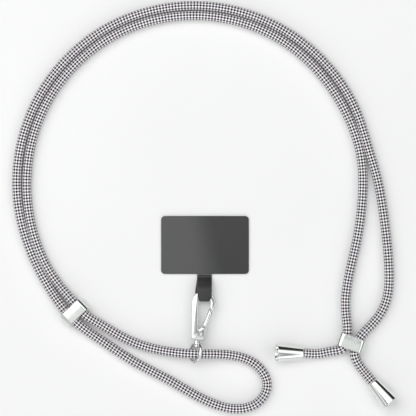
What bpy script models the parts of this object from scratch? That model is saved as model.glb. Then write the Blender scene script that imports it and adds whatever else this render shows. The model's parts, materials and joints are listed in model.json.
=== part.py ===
"""A crossbody phone strap: one braided cord with two sliders and two end caps, a swivel snap hook and a flat pad.

Metres, +Z up. The strap lies on the plane z = 0, and the origin is the centre of the pad's underside.
One cord runs from cap to cap: twice round the big loop, through both sliders and once through the hook's eye.
"""
import math

import bmesh
import bpy
import numpy as np
from mathutils import Matrix, Vector

# Clearances
GAP = 0.0003
FLOOR_GAP = 0.0001

# Cord
CORD_DIAMETER = 0.0057
CORD_RADIUS = CORD_DIAMETER / 2
STRAND_SPACING = CORD_DIAMETER + GAP
CORD_HEIGHT = CORD_RADIUS + FLOOR_GAP
STATION_GAP = 0.0245
STATION_TURN = math.radians(32)

# Sliders
SLIDER_LENGTH = 0.0082
SLIDER_WALL = 0.0009
SLIDER_SLACK = 0.0037
SLIDER_CORNER = 0.0034
SLIDER_EDGE = 0.0002
SLIDER_LEAD = 0.0018
SLIDER_INNER_WIDTH = 2 * CORD_DIAMETER + GAP + SLIDER_SLACK
SLIDER_INNER_HEIGHT = CORD_DIAMETER + 2 * GAP
SLIDER_WIDTH = SLIDER_INNER_WIDTH + 2 * SLIDER_WALL
SLIDER_HEIGHT = SLIDER_INNER_HEIGHT + 2 * SLIDER_WALL
SLIDER_CENTRE = SLIDER_HEIGHT / 2
LEFT_SLIDER = (-0.0814, -0.0418, math.radians(-46.9))
RIGHT_SLIDER = (0.0910, -0.0609, math.radians(-109.8))

# End caps
CAP_LENGTH = 0.0171
CAP_WALL = 0.0008
CAP_NECK_WALL = 0.0006
CAP_NECK_LENGTH = 0.0026
CAP_SHOULDER = 0.0010
CAP_RIM_RADIUS = 0.00575
CAP_BORE = CORD_RADIUS + GAP
CAP_NECK_RADIUS = CAP_BORE + CAP_NECK_WALL
CAP_CORD_DEPTH = 0.0086
CAP_TILT = math.radians(10)
CAP_NECK_HEIGHT = CAP_NECK_RADIUS * math.cos(CAP_TILT) + FLOOR_GAP
LEFT_CAP = (0.0613, -0.0674, math.radians(178.1))
RIGHT_CAP = (0.1046, -0.0853, math.radians(-49.7))

# Swivel eye
EYE_WIRE = 0.0023
EYE_PLAY = 0.0041
EYE_SEAT = 0.0013
EYE_RADIUS = (CORD_DIAMETER + EYE_PLAY + EYE_WIRE) / 2
EYE_TURN = math.radians(31)
EYE_BOSS_RADIUS = 0.0021
EYE_BOSS_LENGTH = 0.0027
EYE_BOSS_TOP = EYE_RADIUS + EYE_WIRE / 2 + FLOOR_GAP
POST_RADIUS = 0.00095
POST_HEAD_RADIUS = 0.00175
POST_HEAD_LENGTH = 0.0015
POST_SEAT = 0.0010

# Snap hook, in its own plane: x across, y from the eye's centre towards the arch
HOOK_THICKNESS = 0.0036
HOOK_EDGE = 0.0011
HOOK_BASE = EYE_BOSS_TOP + GAP
HOOK_BASE_HALF_WIDTH = 0.0042
HOOK_CORNER = 0.0016
HOOK_HEEL = 0.0026
ARCH_ABOVE_BASE = 0.0234
ARCH_CENTRE = HOOK_BASE + ARCH_ABOVE_BASE
ARCH_RADIUS = 0.00745
ARCH_FLARE = math.radians(8)
WINDOW_RADIUS = 0.0037
WINDOW_OFFSET = 0.0005
WINDOW_DEPTH = 0.0165
NOSE_LENGTH = 0.0050
NOSE_WIDTH = 0.0023
CLASP_LEAN = math.radians(9.5)
CLASP_PLACE = (-0.0059, -0.0666)

# Gate
GATE_WIDTH = 0.0031
GATE_THICKNESS = 0.0032
GATE_EDGE = 0.0009
GATE_LEAN = math.radians(12.5)
GATE_SHOULDER = 0.0048
RIVET_X = 0.0011
RIVET_ABOVE_BASE = 0.00405
RIVET_Y = HOOK_BASE + RIVET_ABOVE_BASE
RIVET_RADIUS = 0.0007
RIVET_HEAD_RADIUS = 0.0016
RIVET_HEAD_HEIGHT = 0.0005
TANG_RADIUS = 0.0019
TANG_THICKNESS = 0.0013
FORK_TOP = 0.0044
FORK_CLEARANCE = 0.0003

# Pad and tab
PAD_WIDTH = 0.0548
PAD_DEPTH = 0.03625
PAD_THICKNESS = 0.0012
PAD_CORNER = 0.0024
PAD_EDGE = 0.0003
TAB_WIDTH = 0.0092
TAB_DROP = 0.0168
TAB_THICKNESS = 0.0010
TAB_OFFSET = -0.0003

# The clasp's height follows the eye, and its dip brings the arch down onto the tab's lower layer
CLASP_HEIGHT = EYE_RADIUS * math.cos(EYE_TURN) + EYE_WIRE / 2 + FLOOR_GAP
ARCH_TOP = ARCH_CENTRE + ARCH_RADIUS
ARCH_HEIGHT = TAB_THICKNESS + 2 * GAP + HOOK_THICKNESS / 2
CLASP_DIP = math.asin((CLASP_HEIGHT - ARCH_HEIGHT) / ARCH_TOP)
CLASP = (
    Matrix.Translation((*CLASP_PLACE, CLASP_HEIGHT))
    @ Matrix.Rotation(-CLASP_LEAN, 4, "Z")
    @ Matrix.Rotation(-CLASP_DIP, 4, "X")
)

# Where the cord rises off the surface
SLIDER_RISE = SLIDER_CENTRE - CORD_HEIGHT
EYE_RISE =CLASP_HEIGHT - EYE_RADIUS * math.cos(EYE_TURN) + EYE_WIRE / 2 + CORD_RADIUS + EYE_SEAT - CORD_HEIGHT
EYE_HUMP = 0.034
SLIDER_HUMP = 0.020
SLIDER_HUMP_FLAT = 0.006

# Route of the cord on the surface, chosen by hand
LEFT_TAIL = [(0.0705, -0.0678), (0.0793, -0.0662)]
INNER_STRAND = [(0.0878, -0.0400), (0.0898, -0.0194), (0.0948, 0.0031), (0.0981, 0.0281)]
BAND_RIGHT = (0.1004, 0.0550)
BAND = [
    (0.0920, 0.0813),
    (0.0563, 0.1257),
    (0.0000, 0.1460),
    (-0.0601, 0.1323),
    (-0.1027, 0.0874),
    (-0.1138, 0.0281),
    (-0.0939, -0.0261),
]
UPPER_STRAND = [(-0.0669, -0.0484), (-0.0444, -0.0607), (-0.0219, -0.0664), (-0.0063, -0.0677), (0.0190, -0.0692)]
LOOP = [(0.0334, -0.0761), (0.0388, -0.0872), (0.0334, -0.0978), (0.0219, -0.1021)]
LOWER_STRAND = [(0.0040, -0.0985), (-0.0219, -0.0845), (-0.0444, -0.0726), (-0.0635, -0.0602)]
OUTER_STRAND = [(0.1062, 0.0462), (0.1120, 0.0150), (0.1148, -0.0150), (0.1119, -0.0381), (0.1046, -0.0490)]
RIGHT_TAIL = [(0.0970, -0.0760)]
RIGHT_SLIDER_STRANDS = (-0.0045, 0.0045)
LEFT_SLIDER_STRANDS = (-0.0034, 0.0038)

# Colour, roughness and metallic value of each sub-part
FINISHES = {
    "cord": ((0.16, 0.11, 0.18), 0.85, 0.0),
    "slider_left": ((0.72, 0.74, 0.73), 0.32, 1.0),
    "slider_right": ((0.72, 0.74, 0.73), 0.32, 1.0),
    "end_cap_left": ((0.80, 0.81, 0.81), 0.16, 1.0),
    "end_cap_right": ((0.80, 0.81, 0.81), 0.16, 1.0),
    "hook_body": ((0.80, 0.81, 0.81), 0.12, 1.0),
    "hook_gate": ((0.80, 0.81, 0.81), 0.12, 1.0),
    "gate_rivet": ((0.70, 0.71, 0.71), 0.20, 1.0),
    "swivel_post": ((0.70, 0.71, 0.71), 0.20, 1.0),
    "swivel_eye": ((0.80, 0.81, 0.81), 0.12, 1.0),
    "pad": ((0.035, 0.035, 0.036), 0.55, 0.0),
    "tab": ((0.030, 0.030, 0.031), 0.60, 0.0),
}


def collection(name):
    """A new collection in the scene."""
    made = bpy.data.collections.new(name)
    bpy.context.scene.collection.children.link(made)
    return made


def material(name, colour, roughness, metallic):
    """A Principled material."""
    made = bpy.data.materials.new(name)
    made.use_nodes = True
    shader = made.node_tree.nodes["Principled BSDF"]
    shader.inputs["Base Color"].default_value = (*colour, 1)
    shader.inputs["Roughness"].default_value = roughness
    shader.inputs["Metallic"].default_value = metallic
    made.diffuse_color = (*colour, 1)
    return made


def add_part(name, data):
    """A sub-part for the mesh or curve, with its own material."""
    made = bpy.data.objects.new(name, data)
    data.materials.append(material(name + "_finish", *FINISHES[name]))
    parts.objects.link(made)
    return made


def add_cutter(name, data, matrix):
    """A hidden object that only cuts or joins others."""
    made = bpy.data.objects.new(name, data)
    cutters.objects.link(made)
    made.matrix_world = matrix
    made.hide_render = True
    made.display_type = "WIRE"
    return made


def flat_plate(name, loops, thickness):
    """The mesh of a flat plate in the XY plane; loops after the first are holes."""
    curve = bpy.data.curves.new(name, "CURVE")
    curve.dimensions = "2D"
    curve.fill_mode = "BOTH"
    curve.extrude = thickness / 2
    for loop in loops:
        spline = curve.splines.new("POLY")
        spline.points.add(len(loop) - 1)
        for point, (x, y) in zip(spline.points, loop):
            point.co = (x, y, 0, 1)
        spline.use_cyclic_u = True
    return mesh_of_curve(name, curve)


def mesh_of_curve(name, curve):
    """The curve as one closed mesh, with its caps welded on."""
    holder = bpy.data.objects.new(name, curve)
    bpy.context.scene.collection.objects.link(holder)
    bpy.context.view_layer.update()
    graph = bpy.context.evaluated_depsgraph_get()
    mesh = bpy.data.meshes.new_from_object(holder.evaluated_get(graph))
    bpy.data.objects.remove(holder)
    bpy.data.curves.remove(curve)
    shape = bmesh.new()
    shape.from_mesh(mesh)
    bmesh.ops.remove_doubles(shape, verts=shape.verts, dist=0.000001)
    bmesh.ops.dissolve_limit(shape, angle_limit=math.radians(1), verts=shape.verts, edges=shape.edges)
    bmesh.ops.recalc_face_normals(shape, faces=shape.faces)
    shape.to_mesh(mesh)
    shape.free()
    mesh.name = name
    return mesh


def turned(name, profile, steps):
    """The mesh turned about Z from (radius, height) points that run down the outside."""
    mesh = bpy.data.meshes.new(name)
    closed = profile[0][0] > 0 and profile[-1][0] > 0
    count = len(profile)
    edges = [(i, i + 1) for i in range(count - 1)]
    if closed:
        edges.append((count - 1, 0))
    mesh.from_pydata([(r, 0, z) for r, z in profile], edges, [])
    holder = bpy.data.objects.new(name, mesh)
    bpy.context.scene.collection.objects.link(holder)
    screw = holder.modifiers.new("Turn", "SCREW")
    screw.steps = steps
    screw.render_steps = steps
    screw.use_merge_vertices = True
    screw.merge_threshold = 0.000001
    bpy.context.view_layer.update()
    graph = bpy.context.evaluated_depsgraph_get()
    made = bpy.data.meshes.new_from_object(holder.evaluated_get(graph))
    bpy.data.objects.remove(holder)
    bpy.data.meshes.remove(mesh)
    made.name = name
    return made


def arc(centre, radius, start, end, steps):
    """Points on a circle from one angle to another, in degrees."""
    angles = [math.radians(start + (end - start) * i / steps) for i in range(steps + 1)]
    return [(centre[0] + radius * math.cos(a), centre[1] + radius * math.sin(a)) for a in angles]


def rounded_rectangle(width, height, radius, steps):
    """The outline of a rectangle with round corners, centred on the origin."""
    x = width / 2 - radius
    y = height / 2 - radius
    points = arc((x, y), radius, 0, 90, steps)
    points += arc((-x, y), radius, 90, 180, steps)
    points += arc((-x, -y), radius, 180, 270, steps)
    points += arc((x, -y), radius, 270, 360, steps)
    return points


def soften(item, width, segments=2, limit=40):
    """Round the sharp edges of an object, and shade it smooth."""
    bevel = item.modifiers.new("Edges", "BEVEL")
    bevel.width = width
    bevel.segments = segments
    bevel.limit_method = "ANGLE"
    bevel.angle_limit = math.radians(limit)


def smooth(item, angle=35):
    """Shade the mesh smooth except at its sharp edges."""
    item.data.shade_smooth()
    item.data.set_sharp_from_angle(angle=math.radians(angle))


def boolean(item, cutter, operation):
    """Cut or join one object with another."""
    step = item.modifiers.new(cutter.name, "BOOLEAN")
    step.operation = operation
    step.solver = "EXACT"
    step.object = cutter


def rod(name, radius, low, high, steps=24):
    """A round bar about Z between two heights."""
    return turned(name, [(0, high), (radius, high), (radius, low), (0, low)], steps)


def spline_through(points):
    """A smooth curve through the points: 0, 1, 2 and so on give the points, and fractions lie between."""
    points = np.array(points, float)
    steps = np.linalg.norm(np.diff(points, axis=0), axis=1)
    count = len(points)
    system = np.eye(count)
    pull = np.zeros_like(points)
    for i in range(1, count - 1):
        system[i, i - 1 : i + 2] = (steps[i - 1], 2 * (steps[i - 1] + steps[i]), steps[i])
        pull[i] = 6 * ((points[i + 1] - points[i]) / steps[i] - (points[i] - points[i - 1]) / steps[i - 1])
    bends = np.linalg.solve(system, pull)

    def at(t):
        i = min(int(t), count - 2)
        step = steps[i]
        after = (t - i) * step
        before = step - after
        curved = (bends[i] * before**3 + bends[i + 1] * after**3) / (6 * step)
        near = (points[i] / step - bends[i] * step / 6) * before
        far = (points[i + 1] / step - bends[i + 1] * step / 6) * after
        return curved + near + far

    return at


def in_fitting(fitting, along, across):
    """A point of the surface given along and across a slider or a cap, to the left of its axis."""
    x, y, turn = fitting
    return (
        x + along * math.cos(turn) - across * math.sin(turn),
        y + along * math.sin(turn) + across * math.cos(turn),
    )


def through_slider(slider, across):
    """The two points where a strand enters and leaves a slider, along its axis."""
    reach = SLIDER_LENGTH / 2 + SLIDER_LEAD
    return [in_fitting(slider, -reach, across), in_fitting(slider, reach, across)]


def beside_band(side):
    """The band's points moved sideways to one of its two strands, 1 for the outer and -1 for the inner."""
    middle = spline_through([BAND_RIGHT, *BAND, LEFT_SLIDER[:2]])
    moved = []
    for i in range(len(BAND) + 1):
        here = middle(i)
        ahead = middle(i + 0.05) - middle(max(i - 0.05, 0))
        ahead /= np.linalg.norm(ahead)
        outward = np.array((ahead[1], -ahead[0])) * side * STRAND_SPACING / 2
        moved.append(tuple(here + outward))
    return moved


def cord_route():
    """The points of the surface that the whole cord passes over, from the left cap to the right one."""
    route = [in_fitting(LEFT_CAP, CAP_CORD_DEPTH, 0), LEFT_CAP[:2], *LEFT_TAIL]
    route += through_slider(RIGHT_SLIDER, RIGHT_SLIDER_STRANDS[0])[::-1]
    route += [*INNER_STRAND, *beside_band(-1)]
    marks = {"right_slider_in": len(LEFT_TAIL) + 2.5, "left_slider_in": len(route) + 0.5}
    route += through_slider(LEFT_SLIDER, LEFT_SLIDER_STRANDS[1])
    marks["eye"] = len(route) + 3
    route += [*UPPER_STRAND, *LOOP, *LOWER_STRAND]
    marks["left_slider_out"] = len(route) + 0.5
    route += through_slider(LEFT_SLIDER, LEFT_SLIDER_STRANDS[0])[::-1]
    route += [*beside_band(1)[::-1], *OUTER_STRAND]
    marks["right_slider_out"] = len(route) + 0.5
    route += through_slider(RIGHT_SLIDER, RIGHT_SLIDER_STRANDS[1])
    route += [*RIGHT_TAIL, RIGHT_CAP[:2], in_fitting(RIGHT_CAP, CAP_CORD_DEPTH, 0)]
    return route, marks


def hump(distance, flat, reach):
    """A smooth rise from 0 at reach to 1 within flat."""
    share = min(max((reach - abs(distance)) / (reach - flat), 0), 1)
    return share * share * (3 - 2 * share)


def end_rise(from_end):
    """The cord's rise near one end, where it follows the tilted cap and runs down to the surface."""
    slope = math.tan(CAP_TILT)
    rise = CAP_NECK_HEIGHT - CORD_HEIGHT
    run = 2 * rise / slope
    outside = from_end - CAP_CORD_DEPTH
    if outside <= 0:
        return rise - outside * slope
    return rise * max(1 - outside / run, 0) ** 2


def cord_stations():
    """The points of the cord's centre line."""
    route, marks = cord_route()
    at = spline_through(route)
    fine = 12
    flat = [at(i / fine) for i in range((len(route) - 1) * fine + 1)]
    run = np.concatenate([[0.0], np.cumsum([np.linalg.norm(b - a) for a, b in zip(flat, flat[1:])])])

    def height(t):
        here = np.interp(t * fine, range(len(run)), run)
        level = CORD_HEIGHT + end_rise(here) + end_rise(run[-1] - here)
        for name, mark in marks.items():
            gone = here - np.interp(mark * fine, range(len(run)), run)
            if name == "eye":
                level += EYE_RISE * hump(gone, 0, EYE_HUMP)
            else:
                level += SLIDER_RISE * hump(gone, SLIDER_HUMP_FLAT, SLIDER_HUMP)
        return level

    stations = []
    for i in range(len(route) - 1):
        start = at(i + 0.02) - at(i)
        end = at(i + 1) - at(i + 0.98)
        turn = abs(math.remainder(math.atan2(end[1], end[0]) - math.atan2(start[1], start[0]), math.tau))
        length = run[(i + 1) * fine] - run[i * fine]
        steps = max(1, math.ceil(length / STATION_GAP), math.ceil(turn / STATION_TURN))
        if i + 0.5 in marks.values():
            steps = 1
        for k in range(steps):
            t = i + k / steps
            stations.append((*at(t), height(t)))
    last = len(route) - 1
    stations.append((*at(last), height(last)))
    return stations


def make_cord():
    """The whole cord as a tube along its route."""
    curve = bpy.data.curves.new("cord", "CURVE")
    curve.dimensions = "3D"
    curve.bevel_depth = CORD_RADIUS
    curve.bevel_resolution = 3
    curve.use_fill_caps = True
    stations = cord_stations()
    spline = curve.splines.new("POLY")
    spline.points.add(len(stations) - 1)
    for point, (x, y, z) in zip(spline.points, stations):
        point.co = (x, y, z, 1)
    return add_part("cord", curve)


def make_slider(name, slider):
    """A flat stadium tube that two strands slide through."""
    outer = rounded_rectangle(SLIDER_WIDTH, SLIDER_HEIGHT, SLIDER_CORNER, 6)
    inner = rounded_rectangle(SLIDER_INNER_WIDTH, SLIDER_INNER_HEIGHT, SLIDER_CORNER - SLIDER_WALL, 6)
    item = add_part(name, flat_plate(name, [outer, inner], SLIDER_LENGTH))
    x, y, turn = slider
    # The plate's thickness lies along the cord, and its short side stands up
    item.matrix_world = (
        Matrix.Translation((x, y, SLIDER_CENTRE))
        @ Matrix.Rotation(turn - math.pi / 2, 4, "Z")
        @ Matrix.Rotation(math.pi / 2, 4, "X")
    )
    soften(item, SLIDER_EDGE, 1, 60)
    smooth(item)
    return item


def make_cap(name, cap):
    """A bell on the cord's end, with its neck round the cord and its wide mouth open."""
    corner = CAP_SHOULDER
    lip = CAP_WALL / 4
    profile = [
        (CAP_RIM_RADIUS - lip, CAP_LENGTH),
        (CAP_RIM_RADIUS, CAP_LENGTH - lip),
        (CAP_NECK_RADIUS + corner / 8, corner),
        (CAP_NECK_RADIUS - corner / 8, corner / 3),
        (CAP_BORE + CAP_NECK_WALL / 4, 0),
        (CAP_BORE, 0),
        (CAP_BORE, CAP_NECK_LENGTH),
        (CAP_RIM_RADIUS - CAP_WALL, CAP_LENGTH - lip),
        (CAP_RIM_RADIUS - CAP_WALL + lip, CAP_LENGTH),
    ]
    item = add_part(name, turned(name, profile, 36))
    x, y, turn = cap
    item.matrix_world = (
        Matrix.Translation((x, y, CAP_NECK_HEIGHT))
        @ Matrix.Rotation(turn, 4, "Z")
        @ Matrix.Rotation(math.pi / 2 - CAP_TILT, 4, "Y")
    )
    smooth(item)
    return item


def nose_points():
    """The nose's end face, from its inner corner to its tip."""
    inner = (WINDOW_OFFSET + WINDOW_RADIUS, ARCH_CENTRE - (NOSE_LENGTH - 0.6 * NOSE_LENGTH))
    tip = (inner[0] + NOSE_WIDTH, ARCH_CENTRE - NOSE_LENGTH)
    return inner, tip


def hook_outline():
    """The hook's outline in its own plane: base, left arm, arch and nose."""
    flare = math.degrees(ARCH_FLARE)
    base = HOOK_BASE
    left = -HOOK_BASE_HALF_WIDTH
    right = HOOK_BASE_HALF_WIDTH
    inner, tip = nose_points()
    outline = arc((left + HOOK_CORNER, base + HOOK_CORNER), HOOK_CORNER, 188, 270, 4)
    outline += arc((right - HOOK_HEEL, base + HOOK_HEEL), HOOK_HEEL, 270, 360, 6)
    outline += fork_top()
    pit = (-0.00025, ARCH_CENTRE - WINDOW_DEPTH + 0.0007)
    outline += arc(pit, 0.0007, 0, -188, 5)
    outline += arc((WINDOW_OFFSET, ARCH_CENTRE), WINDOW_RADIUS, 180 + flare, -4, 14)
    outline += [inner, tip]
    outline += arc((0, ARCH_CENTRE), ARCH_RADIUS, -flare, 180 + flare, 22)
    return outline


def fork_top():
    """The two upper corners of the fork that holds the gate, square to the gate."""
    across = (math.cos(GATE_LEAN), -math.sin(GATE_LEAN))
    ahead = (math.sin(GATE_LEAN), math.cos(GATE_LEAN))
    middle = (RIVET_X + FORK_TOP * ahead[0], RIVET_Y + FORK_TOP * ahead[1])
    reach_right = (HOOK_BASE_HALF_WIDTH + 0.0001 - middle[0]) / across[0]
    reach_left = GATE_WIDTH / 2 - 0.0004
    return [
        (middle[0] + reach_right * across[0], middle[1] + reach_right * across[1]),
        (middle[0] - reach_left * across[0], middle[1] - reach_left * across[1]),
    ]


def make_hook():
    """The snap hook's body, forked at its base for the gate and bored for the post."""
    item = add_part("hook_body", flat_plate("hook_body", [hook_outline()], HOOK_THICKNESS))
    item.matrix_world = CLASP
    soften(item, HOOK_EDGE, 3, 50)
    slot_low = RIVET_Y - TANG_RADIUS - FORK_CLEARANCE
    slot_left = RIVET_X - TANG_RADIUS - FORK_CLEARANCE
    slot_high = RIVET_Y + 2 * FORK_TOP
    slot_right = 2 * HOOK_BASE_HALF_WIDTH
    slot_outline = [(slot_left, slot_low), (slot_right, slot_low), (slot_right, slot_high), (slot_left, slot_high)]
    slot_height = TANG_THICKNESS + 2 * FORK_CLEARANCE
    boolean(item, add_cutter("fork_slot", flat_plate("fork_slot", [slot_outline], slot_height), CLASP), "DIFFERENCE")
    hole = rod("rivet_hole", RIVET_RADIUS + GAP, -HOOK_THICKNESS, HOOK_THICKNESS)
    place = CLASP @ Matrix.Translation((RIVET_X, RIVET_Y, 0))
    boolean(item, add_cutter("rivet_hole", hole, place), "DIFFERENCE")
    seat = rod("post_seat", POST_RADIUS + GAP, -POST_SEAT, POST_SEAT + GAP)
    along = CLASP @ Matrix.Translation((0, HOOK_BASE, 0)) @ Matrix.Rotation(-math.pi / 2, 4, "X")
    boolean(item, add_cutter("post_seat", seat, along), "DIFFERENCE")
    return item


def gate_outlines():
    """The gate's bar and its tang, about the rivet at rest."""
    ahead = Vector((math.sin(GATE_LEAN), math.cos(GATE_LEAN)))
    across = Vector((math.cos(GATE_LEAN), -math.sin(GATE_LEAN)))
    half = GATE_WIDTH / 2
    middle = 0.25 * GATE_WIDTH
    rivet = Vector((RIVET_X, RIVET_Y))
    inner, tip = (Vector(point) for point in nose_points())
    face = (tip - inner).normalized()
    away = Vector((face[1], -face[0]))
    inner_face = inner + away * GAP

    def on_face(offset):
        start = rivet + across * offset
        # Where the gate's edge meets the line of its end face
        turn = ahead[0] * face[1] - ahead[1] * face[0]
        reach = ((inner_face - start)[0] * face[1] - (inner_face - start)[1] * face[0]) / turn
        return start + ahead * reach - rivet

    low = GATE_SHOULDER
    bar = [
        across * (middle - half) + ahead * low,
        across * (middle + half) + ahead * low,
        on_face(middle + half),
        on_face(middle - half),
    ]
    side = TANG_RADIUS
    lean = math.degrees(GATE_LEAN)
    tang = arc((0, 0), TANG_RADIUS, -180 - lean, -lean, 10)
    top = low + GATE_WIDTH
    tang += [tuple(across * side * 0.9 + ahead * top), tuple(-across * side * 0.6 + ahead * top)]
    return [tuple(point) for point in bar], tang


def make_gate():
    """The sprung gate, with its origin on the rivet's axis."""
    bar, tang = gate_outlines()
    place = CLASP @ Matrix.Translation((RIVET_X, RIVET_Y, 0))
    item = add_part("hook_gate", flat_plate("hook_gate", [bar], GATE_THICKNESS))
    item.matrix_world = place
    soften(item, GATE_EDGE, 3, 50)
    boolean(item, add_cutter("gate_tang", flat_plate("gate_tang", [tang], TANG_THICKNESS), place), "UNION")
    hole = rod("gate_hole", RIVET_RADIUS + GAP, -HOOK_THICKNESS, HOOK_THICKNESS)
    boolean(item, add_cutter("gate_hole", hole, place), "DIFFERENCE")
    return item


def make_rivet():
    """The gate's rivet, with a low domed head on each face of the fork."""
    seat = HOOK_THICKNESS / 2 + GAP
    top = seat + RIVET_HEAD_HEIGHT
    head = RIVET_HEAD_RADIUS
    profile = [
        (0, top),
        (head * 0.6, top - RIVET_HEAD_HEIGHT * 0.15),
        (head, seat + RIVET_HEAD_HEIGHT * 0.3),
        (head, seat),
        (RIVET_RADIUS, seat),
    ]
    profile += [(r, -z) for r, z in reversed(profile)]
    item = add_part("gate_rivet", turned("gate_rivet", profile, 20))
    item.matrix_world = CLASP @ Matrix.Translation((RIVET_X, RIVET_Y, 0))
    smooth(item)
    return item


def make_post():
    """The swivel post, from its seat in the hook's base to its head inside the eye."""
    boss_low = EYE_BOSS_TOP - EYE_BOSS_LENGTH
    head_top = boss_low - GAP
    head_low = head_top - POST_HEAD_LENGTH
    profile = [
        (0, HOOK_BASE + POST_SEAT),
        (POST_RADIUS, HOOK_BASE + POST_SEAT),
        (POST_RADIUS, head_top),
        (POST_HEAD_RADIUS, head_top),
        (POST_HEAD_RADIUS, head_low + POST_HEAD_LENGTH * 0.5),
        (POST_HEAD_RADIUS * 0.6, head_low + POST_HEAD_LENGTH * 0.1),
        (0, head_low),
    ]
    item = add_part("swivel_post", turned("swivel_post", profile, 20))
    item.matrix_world = CLASP @ Matrix.Rotation(-math.pi / 2, 4, "X")
    smooth(item)
    return item


def make_eye():
    """The eye that the cord runs through: a ring with a bored boss, turned on the post."""
    ring = turned("swivel_eye", arc((EYE_RADIUS, 0), EYE_WIRE / 2, 0, -360 + 30, 11), 40)
    item = add_part("swivel_eye", ring)
    place = CLASP @ Matrix.Rotation(EYE_TURN, 4, "Y")
    # The ring is turned about Z, so it is stood on edge with its boss towards the hook
    item.matrix_world = place @ Matrix.Rotation(math.pi / 2, 4, "Y")
    boss_low = EYE_BOSS_TOP - EYE_BOSS_LENGTH
    along = place @ Matrix.Rotation(-math.pi / 2, 4, "X")
    boss = add_cutter("eye_boss", rod("eye_boss", EYE_BOSS_RADIUS, boss_low, EYE_BOSS_TOP), along)
    boolean(item, boss, "UNION")
    bore = add_cutter("eye_bore", rod("eye_bore", POST_RADIUS + GAP, boss_low / 2, 2 * EYE_BOSS_TOP), along)
    boolean(item, bore, "DIFFERENCE")
    return item


def make_pad():
    """The flat pad with round corners."""
    outline = rounded_rectangle(PAD_WIDTH, PAD_DEPTH, PAD_CORNER, 6)
    item = add_part("pad", flat_plate("pad", [outline], PAD_THICKNESS))
    item.location = (0, 0, PAD_THICKNESS / 2)
    soften(item, PAD_EDGE, 2, 60)
    smooth(item)
    return item


# The tab's strip from the seam over the arch, round its fold and back: how far along the drop its middle
# lies and how high, then its thickness, width and shift to the right, as shares of the named sizes
TAB_ROWS = [
    {"along": 0.10, "height": None, "thick": 0.6, "wide": 1.00, "shift": 0.00},
    {"along": 0.22, "height": 0.36, "thick": 0.8, "wide": 1.00, "shift": 0.00},
    {"along": 0.36, "height": 0.66, "thick": 1.0, "wide": 1.00, "shift": 0.00},
    {"along": 0.48, "height": 0.89, "thick": 1.0, "wide": 1.00, "shift": 0.00},
    {"along": 0.60, "height": 0.98, "thick": 1.0, "wide": 1.00, "shift": 0.00},
    {"along": 0.74, "height": 1.00, "thick": 1.0, "wide": 0.97, "shift": 0.01},
    {"along": 0.87, "height": 1.00, "thick": 1.0, "wide": 0.90, "shift": 0.02},
    {"along": 0.94, "height": 0.95, "thick": 0.9, "wide": 0.68, "shift": -0.01},
    {"along": 0.968, "height": 0.82, "thick": 0.9, "wide": 0.62, "shift": -0.02},
    {"along": 0.970, "height": 0.50, "thick": 0.9, "wide": 0.61, "shift": -0.02},
    {"along": 0.968, "height": 0.20, "thick": 0.9, "wide": 0.62, "shift": -0.02},
    {"along": 0.940, "height": 0.06, "thick": 0.9, "wide": 0.75, "shift": -0.01},
    {"along": 0.86, "height": 0.00, "thick": 1.0, "wide": 0.95, "shift": -0.05},
    {"along": 0.70, "height": 0.00, "thick": 1.0, "wide": 1.00, "shift": -0.13},
    {"along": 0.50, "height": 0.00, "thick": 1.0, "wide": 1.00, "shift": -0.10},
    {"along": 0.28, "height": 0.00, "thick": 0.8, "wide": 1.00, "shift": -0.04},
    {"along": 0.10, "height": None, "thick": 0.6, "wide": 1.00, "shift": 0.00},
]


def make_tab():
    """The folded strip that hangs from the pad's lower edge and holds the hook's arch."""
    low = TAB_THICKNESS / 2
    high = ARCH_HEIGHT + ARCH_RADIUS * math.sin(CLASP_DIP) + HOOK_THICKNESS / 2 + GAP + low
    root = -PAD_DEPTH / 2 - GAP
    seam = PAD_THICKNESS / 2
    layer = 0.6 * TAB_THICKNESS / 2
    levels = []
    for i, row in enumerate(TAB_ROWS):
        if row["height"] is None:
            level = seam + layer if i == 0 else seam - layer
        else:
            level = low + (high - low) * row["height"]
        levels.append((root - TAB_DROP * row["along"], level))
    shape = bmesh.new()
    outer = []
    inner = []
    last = len(TAB_ROWS) - 1
    for i, row in enumerate(TAB_ROWS):
        before = Vector(levels[max(i - 1, 0)])
        after = Vector(levels[min(i + 1, last)])
        ahead = (after - before).normalized()
        if i in (0, last):
            ahead = Vector((-1, 0)) if i == 0 else Vector((1, 0))
        out = Vector((ahead[1], -ahead[0])) * row["thick"] * TAB_THICKNESS / 2
        middle = Vector(levels[i])
        centre = TAB_OFFSET + row["shift"] * TAB_WIDTH
        half = row["wide"] * TAB_WIDTH / 2
        sides = (centre - half, centre + half)
        outer.append([shape.verts.new((x, *(middle + out))) for x in sides])
        if i == last:
            inner.append(inner[0])
        else:
            inner.append([shape.verts.new((x, *(middle - out))) for x in sides])
    top_end = [shape.verts.new((TAB_OFFSET + s * TAB_WIDTH / 2, root, PAD_THICKNESS)) for s in (-1, 1)]
    low_end = [shape.verts.new((TAB_OFFSET + s * TAB_WIDTH / 2, root, 0)) for s in (-1, 1)]
    skin = [top_end, *outer, low_end]
    for a, b in zip(skin, skin[1:]):
        shape.faces.new((a[0], a[1], b[1], b[0]))
    for a, b in zip(inner, inner[1:]):
        shape.faces.new((a[0], b[0], b[1], a[1]))
    for side in (0, 1):
        for i in range(last):
            shape.faces.new((outer[i][side], outer[i + 1][side], inner[i + 1][side], inner[i][side]))
        shape.faces.new((top_end[side], outer[0][side], inner[0][side], outer[last][side], low_end[side]))
    shape.faces.new((top_end[0], low_end[0], low_end[1], top_end[1]))
    bmesh.ops.recalc_face_normals(shape, faces=shape.faces)
    mesh = bpy.data.meshes.new("tab")
    shape.to_mesh(mesh)
    shape.free()
    item = add_part("tab", mesh)
    smooth(item)
    return item


for old in list(bpy.data.objects):
    bpy.data.objects.remove(old)

parts = collection("phone_crossbody_strap")
cutters = collection("cutters")

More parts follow.
